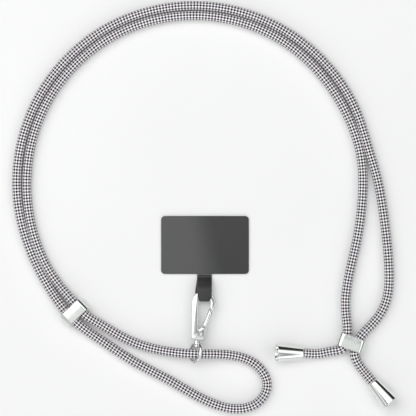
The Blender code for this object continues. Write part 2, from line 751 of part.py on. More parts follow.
make_cord()
make_slider("slider_left", LEFT_SLIDER)
make_slider("slider_right", RIGHT_SLIDER)
make_cap("end_cap_left", LEFT_CAP)
make_cap("end_cap_right", RIGHT_CAP)
make_hook()
make_gate()
make_rivet()
make_post()
make_eye()
make_pad()
make_tab()
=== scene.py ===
"""Looks of a crossbody phone strap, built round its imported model.

Metres, +Z up. The strap lies on the floor z = 0, and the camera looks straight down at it.
"""
import json
import math

import bmesh
import bpy
import numpy as np
from mathutils import Matrix, Vector


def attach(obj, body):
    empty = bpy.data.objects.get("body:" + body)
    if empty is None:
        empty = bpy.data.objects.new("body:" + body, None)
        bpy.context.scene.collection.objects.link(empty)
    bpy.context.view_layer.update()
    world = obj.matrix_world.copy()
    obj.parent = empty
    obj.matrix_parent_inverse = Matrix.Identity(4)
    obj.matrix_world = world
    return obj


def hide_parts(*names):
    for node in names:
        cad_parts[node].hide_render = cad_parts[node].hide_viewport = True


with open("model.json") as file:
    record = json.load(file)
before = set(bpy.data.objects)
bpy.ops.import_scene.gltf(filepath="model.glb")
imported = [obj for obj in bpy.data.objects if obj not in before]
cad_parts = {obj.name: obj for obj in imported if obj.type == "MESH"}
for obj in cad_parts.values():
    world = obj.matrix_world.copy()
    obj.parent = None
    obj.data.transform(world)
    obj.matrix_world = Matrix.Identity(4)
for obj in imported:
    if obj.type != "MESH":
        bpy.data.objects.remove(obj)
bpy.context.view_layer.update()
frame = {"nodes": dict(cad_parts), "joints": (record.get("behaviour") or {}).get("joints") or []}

# Cord: its size, the braid on it and the heights that its route rises to
CORD_DIAMETER = 0.0059
CORD_RADIUS = CORD_DIAMETER / 2
CORD_HEIGHT = 0.0030
STRAND_SPACING = 0.0060
BRAID_COLUMNS = 10
BRAID_PITCH = 0.00195
STITCH_CROWN = 0.00004
STITCH_VALLEY = -0.00008
STITCH_CORNER = -0.00024
END_NARROWING = 0.72
END_ROUNDING = 0.22
END_LENGTH = 0.3
FITTING_HEIGHT = 0.00405
EYE_PEAK = 0.0065
CAP_MOUTH_HEIGHT = 0.00379
EYE_HUMP = 0.034
SLIDER_HUMP = 0.020
SLIDER_HUMP_FLAT = 0.006

# Places of the fittings, each with the direction of its axis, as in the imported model
LEFT_SLIDER = (-0.0814, -0.0418, math.radians(-46.9))
RIGHT_SLIDER = (0.0910, -0.0609, math.radians(-109.8))
LEFT_CAP = (0.0613, -0.0674, math.radians(178.1))
RIGHT_CAP = (0.1046, -0.0853, math.radians(-49.7))
CAP_TILT = math.radians(10)
CAP_CORD_DEPTH = 0.0086
CAP_LENGTH = 0.0171
SLIDER_LENGTH = 0.0082
SLIDER_LEAD = 0.0018

# Route of the cord on the surface, the same listed points as in the imported model
LEFT_TAIL = [(0.0705, -0.0678), (0.0793, -0.0662)]
INNER_STRAND = [(0.0878, -0.0400), (0.0898, -0.0194), (0.0948, 0.0031), (0.0981, 0.0281)]
BAND_RIGHT = (0.1004, 0.0550)
BAND = [
    (0.0920, 0.0813),
    (0.0563, 0.1257),
    (0.0000, 0.1460),
    (-0.0601, 0.1323),
    (-0.1027, 0.0874),
    (-0.1138, 0.0281),
    (-0.0939, -0.0261),
]
UPPER_STRAND = [
    (-0.0669, -0.0484),
    (-0.0444, -0.0607),
    (-0.0219, -0.0664),
    (-0.0063, -0.0677),
    (0.0190, -0.0692),
]
LOOP = [(0.0334, -0.0761), (0.0388, -0.0872), (0.0334, -0.0978), (0.0219, -0.1021)]
LOWER_STRAND = [(0.0040, -0.0985), (-0.0219, -0.0845), (-0.0444, -0.0726), (-0.0635, -0.0602)]
OUTER_STRAND = [(0.1062, 0.0462), (0.1120, 0.0150), (0.1148, -0.0150), (0.1119, -0.0381), (0.1046, -0.0490)]
RIGHT_TAIL = [(0.0970, -0.0760)]
RIGHT_SLIDER_STRANDS = (-0.0045, 0.0045)
LEFT_SLIDER_STRANDS = (-0.0034, 0.0038)

# End caps: thin bells with a rolled rim
CAP_WALL = 0.0008
CAP_NECK_RADIUS = 0.00375
CAP_NECK_HEIGHT = 0.00379
CAP_BORE = 0.00315
CAP_RIM_RADIUS = 0.00575
CAP_SHOULDER = 0.0011
CAP_NECK_LENGTH = 0.0026
CAP_NECK_EDGE = 0.0001
CAP_NECK_FLARE = 0.0001
CAP_INNER_TAPER = 0.0003
CAP_LIP_DEPTH = 0.0016

# Sliders: flat tubes with round corners
SLIDER_WIDTH = 0.0172
SLIDER_HEIGHT = 0.0081
SLIDER_WALL = 0.0009
SLIDER_CORNER = 0.0034
SLIDER_EDGE = 0.00025

# Swivel eye and its post, along the clasp's own y axis
EYE_RADIUS = 0.00605
EYE_WIRE = 0.0023
EYE_TURN = math.radians(31)
EYE_BOSS_RADIUS = 0.0021
EYE_BOSS_LOW = 0.0046
EYE_BOSS_TOP = 0.0073
EYE_BOSS_EDGE = 0.0003
POST_RADIUS = 0.00095
POST_HEAD_RADIUS = 0.00175
POST_HEAD_LENGTH = 0.0015
POST_BORE = 0.00125
POST_SEAT = 0.0013
POST_TOP = 0.0086
POST_HEAD_EDGE = 0.0006
POST_HEAD_TAPER = 0.0002

# Snap hook, in its own plane: x across, y from the eye's centre towards the arch
HOOK_THICKNESS = 0.0036
HOOK_EDGE = 0.00155
HOOK_BASE = 0.0076
HOOK_BASE_HALF_WIDTH = 0.0042
HOOK_CORNER = 0.0016
HOOK_HEEL = 0.0026
ARCH_CENTRE = 0.0310
ARCH_RADIUS = 0.00745
ARCH_FLARE = 8
WINDOW_RADIUS = 0.0037
WINDOW_OFFSET = 0.0005
WINDOW_DEPTH = 0.0165
WINDOW_END_X = -0.00025
WINDOW_END_RADIUS = 0.0007
NOSE_LENGTH = 0.0050
NOSE_RISE = 0.0030
NOSE_WIDTH = 0.0023
GATE_WIDTH = 0.0031
GATE_THICKNESS = 0.0032
GATE_EDGE = 0.0013
GATE_LEAN = math.radians(12.5)
GATE_SHOULDER = 0.0048
GATE_GAP = 0.0003
GATE_OFFSET = 0.25 * GATE_WIDTH
FORK_TOP = 0.0044
FORK_OVERHANG = 0.0001
FORK_INSET = 0.0004
FORK_SLOT = 0.0019
TANG_RADIUS = 0.0019
TANG_THICKNESS = 0.0013
TANG_OUTER_SHARE = 0.9
TANG_INNER_SHARE = 0.6
RIVET_HOLE = 0.0010
RIVET_RADIUS = 0.0007
RIVET_HEAD_RADIUS = 0.0016
RIVET_HEAD_HEIGHT = 0.0005
RIVET_SEAT = HOOK_THICKNESS / 2 + GATE_GAP

# The rivet's head from its dimple to its rim: radius as a share of the head's, depth as a share of its height
RIVET_HEAD_ROWS = [(0, 0.7), (0.35, 0.6), (0.5, 0.1), (0.62, 0), (0.8, 0.04)]
RIVET_RIM_SHARE = 0.2

# Pad and tab
PAD_WIDTH = 0.0548
PAD_DEPTH = 0.03625
PAD_THICKNESS = 0.0012
PAD_CORNER = 0.0024
PAD_EDGE = 0.0004
TAB_WIDTH = 0.0092
TAB_DROP = 0.0168
TAB_THICKNESS = 0.0010
TAB_OFFSET = -0.0003
TAB_GAP = 0.0003
TAB_STEPS = 5
TAB_LAYER = 0.3 * TAB_THICKNESS
TAB_EDGE_SHARE = 0.3

# The tab's strip from the pad over the arch, round its fold and back: how far along the drop its middle lies
# and how high, then its thickness, width and shift to the right, as shares of the tab's own sizes
TAB_ROWS = [
    (0.00, None, 0.5, 1.00, 0.00),
    (0.10, None, 0.5, 1.00, 0.00),
    (0.22, 0.36, 0.8, 1.00, 0.00),
    (0.36, 0.66, 1.0, 1.00, 0.00),
    (0.48, 0.89, 1.0, 1.00, 0.00),
    (0.60, 0.98, 1.0, 1.00, 0.00),
    (0.74, 1.00, 1.0, 0.97, 0.01),
    (0.87, 1.00, 1.0, 0.90, 0.02),
    (0.94, 0.95, 0.9, 0.68, -0.01),
    (0.968, 0.82, 0.9, 0.62, -0.02),
    (0.970, 0.50, 0.9, 0.61, -0.02),
    (0.968, 0.20, 0.9, 0.62, -0.02),
    (0.940, 0.06, 0.9, 0.75, -0.01),
    (0.86, 0.00, 1.0, 0.95, -0.05),
    (0.70, 0.00, 1.0, 1.00, -0.13),
    (0.50, 0.00, 1.0, 1.00, -0.10),
    (0.28, 0.00, 0.8, 1.00, -0.04),
    (0.10, None, 0.5, 1.00, 0.00),
    (0.00, None, 0.5, 1.00, 0.00),
]

# Cloth: its weave in radians a metre, and the line where its painted sheen fades into the cloth's dark:
# slope, middle and half width
WEAVE = 9000.0
PAD_PAINTED_SHEEN_LINE = (0.21, 0.0, 0.010)
TAB_PAINTED_SHEEN_LINE = (0.0, 0.0, 0.006)

# Surroundings: brightness by height, with the height of what lies towards +Y and +X counted as lower
ROOM_LEAN_X = -0.10
ROOM_LEAN_Y = -0.36
ROOM_STRENGTH = 1.36
ROOM_TONES = [
    (0.0, (0.02, 0.02, 0.02)),
    (0.24, (0.03, 0.035, 0.03)),
    (0.36, (0.10, 0.12, 0.11)),
    (0.46, (0.62, 0.64, 0.62)),
    (0.60, (1.0, 1.0, 1.0)),
    (0.84, (1.0, 1.0, 1.0)),
    (0.90, (0.26, 0.27, 0.27)),
    (0.945, (0.26, 0.27, 0.27)),
    (0.985, (0.66, 0.67, 0.66)),
    (1.0, (0.66, 0.67, 0.66)),
]

# Camera: a long lens straight above the middle of the picture
PICTURE_WIDTH = 0.260
PICTURE_CENTRE = (0.0019, 0.0231)
LENS = 200
SENSOR = 36


def spline_through(points):
    """A smooth curve through the points: 0, 1, 2 and so on give the points, and fractions lie between."""
    points = np.array(points, float)
    steps = np.linalg.norm(np.diff(points, axis=0), axis=1)
    count = len(points)
    system = np.eye(count)
    pull = np.zeros_like(points)
    for i in range(1, count - 1):
        system[i, i - 1 : i + 2] = (steps[i - 1], 2 * (steps[i - 1] + steps[i]), steps[i])
        pull[i] = 6 * ((points[i + 1] - points[i]) / steps[i] - (points[i] - points[i - 1]) / steps[i - 1])
    bends = np.linalg.solve(system, pull)

    def at(t):
        i = min(int(t), count - 2)
        step = steps[i]
        after = (t - i) * step
        before = step - after
        curved = (bends[i] * before**3 + bends[i + 1] * after**3) / (6 * step)
        near = (points[i] / step - bends[i] * step / 6) * before
        far = (points[i + 1] / step - bends[i + 1] * step / 6) * after
        return curved + near + far

    return at


def in_fitting(fitting, along, across):
    """A point of the surface given along and across a slider or a cap, to the left of its axis."""
    x, y, turn = fitting
    return (
        x + along * math.cos(turn) - across * math.sin(turn),
        y + along * math.sin(turn) + across * math.cos(turn),
    )


def through_slider(slider, across):
    """The two points where a strand enters and leaves a slider, along its axis."""
    reach = SLIDER_LENGTH / 2 + SLIDER_LEAD
    return [in_fitting(slider, -reach, across), in_fitting(slider, reach, across)]


def beside_band(side):
    """The band's points moved sideways to one of its two strands, 1 for the outer and -1 for the inner."""
    middle = spline_through([BAND_RIGHT, *BAND, LEFT_SLIDER[:2]])
    moved = []
    for i in range(len(BAND) + 1):
        ahead = middle(i + 0.05) - middle(max(i - 0.05, 0))
        ahead /= np.linalg.norm(ahead)
        outward = np.array((ahead[1], -ahead[0])) * side * STRAND_SPACING / 2
        moved.append(tuple(middle(i) + outward))
    return moved


def cord_route():
    """The points of the surface that the whole cord passes over, from the left cap to the right one."""
    route = [in_fitting(LEFT_CAP, CAP_CORD_DEPTH, 0), LEFT_CAP[:2], *LEFT_TAIL]
    route += through_slider(RIGHT_SLIDER, RIGHT_SLIDER_STRANDS[0])[::-1]
    route += [*INNER_STRAND, *beside_band(-1)]
    marks = {"right_slider_in": len(LEFT_TAIL) + 2.5, "left_slider_in": len(route) + 0.5}
    route += through_slider(LEFT_SLIDER, LEFT_SLIDER_STRANDS[1])
    marks["eye"] = len(route) + 3
    route += [*UPPER_STRAND, *LOOP, *LOWER_STRAND]
    marks["left_slider_out"] = len(route) + 0.5
    route += through_slider(LEFT_SLIDER, LEFT_SLIDER_STRANDS[0])[::-1]
    route += [*beside_band(1)[::-1], *OUTER_STRAND]
    marks["right_slider_out"] = len(route) + 0.5
    route += through_slider(RIGHT_SLIDER, RIGHT_SLIDER_STRANDS[1])
    route += [*RIGHT_TAIL, RIGHT_CAP[:2], in_fitting(RIGHT_CAP, CAP_CORD_DEPTH, 0)]
    return route, marks


def hump(distance, flat, reach):
    """A smooth rise from 0 at reach to 1 within flat."""
    share = np.clip((reach - np.abs(distance)) / (reach - flat), 0, 1)
    return share * share * (3 - 2 * share)


def end_rise(from_end):
    """The cord's rise near one end, where it follows the tilted cap and runs down to the surface."""
    slope = math.tan(CAP_TILT)
    rise = CAP_MOUTH_HEIGHT - CORD_HEIGHT
    outside = from_end - CAP_CORD_DEPTH
    inside = rise - outside * slope
    return np.where(outside <= 0, inside, rise * np.clip(1 - outside * slope / (2 * rise), 0, 1) ** 2)


def cord_line(step):
    """The cord's centre line as an array of points a step apart."""
    route, marks = cord_route()
    at = spline_through(route)
    fine = 40
    flat = np.array([at(i / fine) for i in range((len(route) - 1) * fine + 1)])
    run = np.concatenate([[0.0], np.cumsum(np.linalg.norm(np.diff(flat, axis=0), axis=1))])
    level = CORD_HEIGHT + end_rise(run) + end_rise(run[-1] - run)
    for name, mark in marks.items():
        gone = run - run[round(mark * fine)]
        if name == "eye":
            level += (EYE_PEAK - CORD_HEIGHT) * hump(gone, 0, EYE_HUMP)
        else:
            level += (FITTING_HEIGHT - CORD_HEIGHT) * hump(gone, SLIDER_HUMP_FLAT, SLIDER_HUMP)
    line = np.column_stack([flat, level])
    run = np.concatenate([[0.0], np.cumsum(np.linalg.norm(np.diff(line, axis=0), axis=1))])
    count = round(run[-1] / step)
    places = np.linspace(0, run[-1], count + 1)
    return np.column_stack([np.interp(places, run, line[:, axis]) for axis in range(3)]), run[-1]


def node(tree, kind, settings=None, **inputs):
    """A shader node with its settings and its inputs, each a value or another node's output."""
    made = tree.nodes.new(kind)
    for name, value in (settings or {}).items():
        setattr(made, name, value)
    for name, value in inputs.items():
        socket = made.inputs[int(name[1:])] if name[1:].isdigit() else made.inputs[name.replace("_", " ")]
        if isinstance(value, bpy.types.NodeSocket):
            tree.links.new(value, socket)
        else:
            socket.default_value = value
    return made


def math_node(tree, operation, *values):
    """The output of a maths node with the given values."""
    inputs = {f"i{k}": value for k, value in enumerate(values)}
    return node(tree, "ShaderNodeMath", {"operation": operation}, **inputs).outputs[0]


def ramp(tree, factor, stops):
    """A colour ramp of (place, colour) stops."""
    made = node(tree, "ShaderNodeValToRGB", i0=factor)
    line = made.color_ramp
    line.elements[0].position, line.elements[0].color = stops[0][0], (*stops[0][1], 1)
    line.elements[1].position, line.elements[1].color = stops[-1][0], (*stops[-1][1], 1)
    for place, colour in stops[1:-1]:
        line.elements.new(place).color = (*colour, 1)
    return made.outputs[0]


def surface(name, **values):
    """A Principled material with the given values, its node tree and its shader."""
    made = bpy.data.materials.new(name)
    made.use_nodes = True
    shader = made.node_tree.nodes["Principled BSDF"]
    for socket, value in values.items():
        shader.inputs[socket.replace("_", " ")].default_value = value
    return made, made.node_tree, shader


def bump(tree, shader, height, distance, strength=1.0):
    """Bump on the shader from a height between 0 and 1."""
    made = node(tree, "ShaderNodeBump", Height=height, Distance=distance, Strength=strength)
    tree.links.new(made.outputs[0], shader.inputs["Normal"])


def yarn(name, along, dark, light):
    """Yarn of one colour: filaments that run along its own stitches, read from the braid's coordinates, with
    painted shade darkening the grooves between the filaments.
    """
    made, tree, shader = surface(name, Roughness=0.72, Sheen_Weight=0.35, Sheen_Roughness=0.4)
    place = node(tree, "ShaderNodeUVMap", {"uv_map": "braid"})
    parts = node(tree, "ShaderNodeSeparateXYZ", i0=place.outputs[0])
    across = parts.outputs[1 if along == 0 else 0]
    stitch = math_node(tree, "SUBTRACT", across, math_node(tree, "ROUND", across))
    filaments = math_node(tree, "SINE", math_node(tree, "MULTIPLY", stitch, 40.0))
    fall = math_node(tree, "MULTIPLY", math_node(tree, "MULTIPLY", stitch, stitch), 4.0)
    crown = math_node(tree, "SUBTRACT", 1.0, fall)
    height = math_node(tree, "MULTIPLY_ADD", filaments, 0.12, crown)
    here = node(tree, "ShaderNodeTexCoord")
    mottle = node(tree, "ShaderNodeTexNoise", Vector=here.outputs["Object"], Scale=900.0, Detail=3.0)
    colour = ramp(tree, mottle.outputs[0], [(0.3, dark), (0.7, light)])
    # Painted shade: the colour darkens in the grooves between the filaments, in step with the bump
    painted_groove_shade = math_node(tree, "MULTIPLY_ADD", filaments, 0.06, 0.94)
    groove_shaded = node(tree, "ShaderNodeMix", {"data_type": "RGBA", "blend_type": "MULTIPLY"}, Factor=1.0)
    tree.links.new(colour, groove_shaded.inputs[6])
    tree.links.new(painted_groove_shade, groove_shaded.inputs[7])
    tree.links.new(groove_shaded.outputs[2], shader.inputs["Base Color"])
    bump(tree, shader, height, 0.00012, 0.8)
    return made


def plated(name, tint, roughness, brushed):
    """Plated metal with faint polishing marks and small changes of gloss."""
    made, tree, shader = surface(name, Base_Color=(*tint, 1), Metallic=1.0)
    here = node(tree, "ShaderNodeTexCoord")
    smudge = node(tree, "ShaderNodeTexNoise", Vector=here.outputs["Object"], Scale=260.0, Detail=4.0)
    low, high = roughness * 0.7, roughness * 1.3
    spread = node(tree, "ShaderNodeMapRange", i0=smudge.outputs[0], i1=0.3, i2=0.7, i3=low, i4=high)
    tree.links.new(spread.outputs[0], shader.inputs["Roughness"])
    stretched = node(tree, "ShaderNodeMapping", Vector=here.outputs["Object"], Scale=(900.0, 9000.0, 900.0))
    marks = node(tree, "ShaderNodeTexNoise", Vector=stretched.outputs[0], Scale=1.0, Detail=2.0)
    bump(tree, shader, marks.outputs[0], 0.00001, brushed)
    return made


def coated_cloth(name, dark, light, painted_sheen_line):
    """Black coated cloth: a fine plain weave under the coating, and a painted sheen, lighter towards -X, that
    fades across it.
    """
    made, tree, shader = surface(name, Roughness=0.55, Sheen_Weight=0.1)
    here = node(tree, "ShaderNodeTexCoord")
    parts = node(tree, "ShaderNodeSeparateXYZ", i0=here.outputs["Object"])
    x, y = parts.outputs[0], parts.outputs[1]
    # Painted sheen: the colour is lighter on the -X side of this line and fades to the dark across it
    slope, middle, width = painted_sheen_line
    side = math_node(tree, "MULTIPLY_ADD", y, slope, x)
    soft = {"interpolation_type": "SMOOTHSTEP"}
    tone = node(tree, "ShaderNodeMapRange", soft, i0=side, i1=middle - width, i2=middle + width)
    mottle = node(tree, "ShaderNodeTexNoise", Vector=here.outputs["Object"], Scale=70.0, Detail=5.0)
    base = math_node(tree, "SUBTRACT", tone.outputs[0], 0.06)
    mixed = math_node(tree, "MULTIPLY_ADD", mottle.outputs[0], 0.12, base)
    # The light end of the ramp is the painted sheen, and the dark end is the cloth's own colour
    colour = ramp(tree, mixed, [(0.0, light), (1.0, dark)])
    tree.links.new(colour, shader.inputs["Base Color"])
    warp = math_node(tree, "SINE", math_node(tree, "MULTIPLY", x, WEAVE))
    weft = math_node(tree, "SINE", math_node(tree, "MULTIPLY", y, WEAVE))
    cloth = math_node(tree, "MULTIPLY_ADD", math_node(tree, "MULTIPLY", warp, weft), 0.5, 0.5)
    bump(tree, shader, cloth, 0.00003, 0.5)
    return made


def add_piece(name, data, body, slot, nodes, *materials):
    """A piece that rides on a body and stands for CAD nodes."""
    piece = bpy.data.objects.new(name, data)
    bpy.context.scene.collection.objects.link(piece)
    for material in materials:
        data.materials.append(material)
    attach(piece, body)
    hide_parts(*nodes)
    return piece


def arc(centre, radius, start, end, steps):
    """Points on a circle from one angle to another, in degrees."""
    angles = [math.radians(start + (end - start) * i / steps) for i in range(steps + 1)]
    return [(centre[0] + radius * math.cos(a), centre[1] + radius * math.sin(a)) for a in angles]


def rounded_rectangle(width, height, radius, steps):
    """The outline of a rectangle with round corners, centred on the origin."""
    x = width / 2 - radius
    y = height / 2 - radius
    points = arc((x, y), radius, 0, 90, steps)
    points += arc((-x, y), radius, 90, 180, steps)
    points += arc((-x, -y), radius, 180, 270, steps)
    points += arc((x, -y), radius, 270, 360, steps)
    return points


def evaluated(name, holder):
    """The mesh of an object with its modifiers applied, without the object."""
    bpy.context.scene.collection.objects.link(holder)
    bpy.context.view_layer.update()
    graph = bpy.context.evaluated_depsgraph_get()
    mesh = bpy.data.meshes.new_from_object(holder.evaluated_get(graph))
    bpy.data.objects.remove(holder)
    mesh.name = name
    return mesh


def flat_plate(name, loops, thickness, edge=0, segments=4, limit=50):
    """A flat plate in the XY plane with round edges; loops after the first are holes."""
    curve = bpy.data.curves.new(name, "CURVE")
    curve.dimensions = "2D"
    curve.fill_mode = "BOTH"
    curve.extrude = thickness / 2
    for loop in loops:
        spline = curve.splines.new("POLY")
        spline.points.add(len(loop) - 1)
        for point, (x, y) in zip(spline.points, loop):
            point.co = (x, y, 0, 1)
        spline.use_cyclic_u = True
    mesh = evaluated(name, bpy.data.objects.new(name, curve))
    shape = bmesh.new()
    shape.from_mesh(mesh)
    bmesh.ops.remove_doubles(shape, verts=shape.verts, dist=0.000001)
    bmesh.ops.dissolve_limit(shape, angle_limit=math.radians(1), verts=shape.verts, edges=shape.edges)
    bmesh.ops.recalc_face_normals(shape, faces=shape.faces)
    shape.to_mesh(mesh)
    shape.free()
    if edge:
        holder = bpy.data.objects.new(name, mesh)
        bevel = holder.modifiers.new("Edges", "BEVEL")
        bevel.width = edge
        bevel.segments = segments
        bevel.limit_method = "ANGLE"
        bevel.angle_limit = math.radians(limit)
        mesh = evaluated(name, holder)
    return mesh


def turned_shape(name, profile, steps=96):
    """The mesh turned about Z from (radius, height) points that run down the outside."""
    count = len(profile)
    edges = [(i, i + 1) for i in range(count - 1)]
    if profile[0][0] > 0 and profile[-1][0] > 0:
        edges.append((count - 1, 0))
    mesh = bpy.data.meshes.new(name)
    mesh.from_pydata([(r, 0, z) for r, z in profile], edges, [])
    holder = bpy.data.objects.new(name, mesh)
    screw = holder.modifiers.new("Turn", "SCREW")
    screw.steps = steps
    screw.render_steps = steps
    screw.use_merge_vertices = True
    screw.merge_threshold = 0.000001
    return evaluated(name, holder)


def combined(name, mesh, others, operation):
    """The mesh joined with, or cut by, the other meshes."""
    for other in others:
        tool = bpy.data.objects.new("tool", other)
        bpy.context.scene.collection.objects.link(tool)
        holder = bpy.data.objects.new(name, mesh)
        step = holder.modifiers.new("Join", "BOOLEAN")
        step.operation = operation
        step.solver = "EXACT"
        step.object = tool
        mesh = evaluated(name, holder)
        bpy.data.objects.remove(tool)
    return mesh


def merge_near(mesh):
    """Weld the mesh's points that lie closer than a hundredth of a millimetre."""
    shape = bmesh.new()
    shape.from_mesh(mesh)
    bmesh.ops.remove_doubles(shape, verts=shape.verts, dist=0.00001)
    shape.to_mesh(mesh)
    shape.free()


def placed(mesh, matrix):
    """The mesh moved by a matrix, smooth except at its sharp edges."""
    mesh.transform(matrix)
    mesh.shade_smooth()
    mesh.set_sharp_from_angle(angle=math.radians(32))
    return mesh


def braided_tube(line):
    """Points, faces, braid coordinates and colours of a round braid on the line.

    The points lie in a staggered grid, a quarter of the braid's pitch apart. Each stitch is four faces
    round a raised middle, and light and dark stitches alternate like the squares of a board.
    """
    count = len(line)
    ahead = np.gradient(line, axis=0)
    ahead /= np.linalg.norm(ahead, axis=1)[:, None]
    side = np.cross(ahead, (0, 0, 1))
    side /= np.linalg.norm(side, axis=1)[:, None]
    up = np.cross(side, ahead)
    around = 2 * BRAID_COLUMNS
    ring, column = np.meshgrid(np.arange(count), np.arange(around), indexing="ij")
    turned = 2 * column + ring % 2
    one_way = (turned + ring) // 2
    other_way = (turned - ring) // 2
    odd = one_way % 2 + other_way % 2
    radius = CORD_RADIUS + np.choose(odd, [STITCH_CROWN, STITCH_VALLEY, STITCH_CORNER])
    angle = turned * math.pi / around
    across = np.cos(angle)[..., None] * side[:, None] + np.sin(angle)[..., None] * up[:, None]
    points = (line[:, None] + radius[..., None] * across).reshape(-1, 3)

    ring, column = np.meshgrid(np.arange(1, count - 1), np.arange(around), indexing="ij")
    turned = 2 * column + (ring + 1) % 2
    low = (ring - 1) * around + column
    high = (ring + 1) * around + column
    left = ring * around + (column - ring % 2) % around
    right = ring * around + (column + 1 - ring % 2) % around
    faces = np.stack([low, left, high, right], axis=-1).reshape(-1, 4)
    moves = np.array([(0, -1), (-1, 0), (0, 1), (1, 0)])
    at = turned[..., None] + moves[:, 0]
    along = ring[..., None] + moves[:, 1]
    places = np.stack([(at + along) / 4, (at - along) / 4], axis=-1).reshape(-1, 2)
    nearest = np.floor((turned + ring) / 4 + 0.5) + np.floor((turned - ring) / 4 + 0.5)
    light = (nearest % 2 == 0).reshape(-1)
    return points, faces, places, light


def tube_end(line, points, end):
    """Points and faces that round off one end of the braid, 0 for its start and -1 for its end."""
    around = 2 * BRAID_COLUMNS
    outer, inner = (0, 1) if end == 0 else (len(line) - 1, len(line) - 2)
    # The end's zigzag edge: even rings hold the even half turns and odd rings the odd ones
    even, odd = (outer, inner) if outer % 2 == 0 else (inner, outer)
    rim = [ring * around + column for column in range(around) for ring in (even, odd)]
    middle = line[end]
    away = middle - line[1 if end == 0 else -2]
    away /= np.linalg.norm(away)
    first = len(points)
    added = [middle + (points[i] - middle) * END_NARROWING + away * CORD_RADIUS * END_ROUNDING for i in rim]
    added.append(middle + away * CORD_RADIUS * END_LENGTH)
    tip = first + len(rim)
    faces = []
    for i in range(len(rim)):
        j = (i + 1) % len(rim)
        if end != 0:
            i, j = j, i
        faces.append((rim[i], rim[j], first + j, first + i))
        faces.append((first + i, first + j, tip))
    return added, faces


def make_cord(light_yarn, dark_yarn):
    """The whole cord with its braid."""
    line, length = cord_line(BRAID_PITCH / 4)
    points, faces, places, light = braided_tube(line)
    start_points, start_faces = tube_end(line, points, 0)
    points = np.vstack([points, start_points])
    end_points, end_faces = tube_end(line, points, -1)
    points = np.vstack([points, end_points])
    mesh = bpy.data.meshes.new("braided_cord")
    mesh.from_pydata(points.tolist(), [], faces.tolist() + start_faces + end_faces)
    layer = mesh.uv_layers.new(name="braid")
    flat = np.zeros(2 * len(mesh.loops))
    flat[: places.size] = places.reshape(-1)
    layer.data.foreach_set("uv", flat)
    slots = np.ones(len(mesh.polygons), int)
    slots[: len(light)] = np.where(light, 0, 1)
    piece = add_piece("braided_cord", mesh, "root", "braided_cord", ["cord"], light_yarn, dark_yarn)
    mesh.polygons.foreach_set("material_index", slots)
    mesh.shade_smooth()
    return piece


def cap_profile():
    """The bell's outline: a rolled rim, a straight flare, a round shoulder and the bore."""
    lip = CAP_WALL / 2
    inner = CAP_RIM_RADIUS - CAP_WALL
    profile = arc((CAP_RIM_RADIUS - lip, CAP_LENGTH - lip), lip, 90, 0, 5)
    profile += arc((CAP_NECK_RADIUS - CAP_SHOULDER + CAP_NECK_FLARE, CAP_SHOULDER), CAP_SHOULDER, 0, -75, 8)
    profile += [(CAP_BORE, CAP_NECK_EDGE), (CAP_BORE, CAP_NECK_LENGTH)]
    profile += [(inner - CAP_INNER_TAPER, CAP_LENGTH - CAP_LIP_DEPTH)]
    profile += arc((CAP_RIM_RADIUS - lip, CAP_LENGTH - lip), lip, 180, 95, 5)
    return profile


def make_cap(name, cap, node_name, finish):
    """A bell on the cord's end, with its wide mouth open."""
    x, y, turn = cap
    place = (
        Matrix.Translation((x, y, CAP_NECK_HEIGHT))
        @ Matrix.Rotation(turn, 4, "Z")
        @ Matrix.Rotation(math.pi / 2 - CAP_TILT, 4, "Y")
    )
    mesh = placed(turned_shape(name, cap_profile()), place)
    return add_piece(name, mesh, "root", "cap_chrome", [node_name], finish)


def make_slider(name, slider, node_name, finish):
    """A flat tube that two strands slide through, with lightly rounded rims."""
    outer = rounded_rectangle(SLIDER_WIDTH, SLIDER_HEIGHT, SLIDER_CORNER, 14)
    width = SLIDER_WIDTH - 2 * SLIDER_WALL
    height = SLIDER_HEIGHT - 2 * SLIDER_WALL
    inner = rounded_rectangle(width, height, SLIDER_CORNER - SLIDER_WALL, 14)
    x, y, turn = slider
    place = (
        Matrix.Translation((x, y, FITTING_HEIGHT))
        @ Matrix.Rotation(turn - math.pi / 2, 4, "Z")
        @ Matrix.Rotation(math.pi / 2, 4, "X")
    )
    mesh = placed(flat_plate(name, [outer, inner], SLIDER_LENGTH, SLIDER_EDGE, 3, 60), place)
    return add_piece(name, mesh, "root", "satin_metal", [node_name], finish)


def clasp_frame():
    """The clasp's frames at the eye and at the rivet, from the places and axes of its two joints."""
    joints = {joint["name"]: joint for joint in frame["joints"]}
    forward = Vector(joints["eye_swivel"]["axis"]).normalized()
    upward = Vector(joints["gate_hinge"]["axis"]).normalized()
    across = forward.cross(upward)
    turned = Matrix((across, forward, upward)).transposed().to_4x4()
    eye = Matrix.Translation(joints["eye_swivel"]["pos_m"]) @ turned
    gate = Matrix.Translation(joints["gate_hinge"]["pos_m"]) @ turned
    return eye, gate


def nose_points():
    """The nose's end face, from its inner corner to its tip."""
    inner = Vector((WINDOW_OFFSET + WINDOW_RADIUS, ARCH_CENTRE - NOSE_LENGTH + NOSE_RISE))
    return inner, Vector((inner[0] + NOSE_WIDTH, ARCH_CENTRE - NOSE_LENGTH))


def gate_directions():
    """The directions along and across the gate in the hook's plane."""
    ahead = Vector((math.sin(GATE_LEAN), math.cos(GATE_LEAN)))
    return ahead, Vector((ahead[1], -ahead[0]))


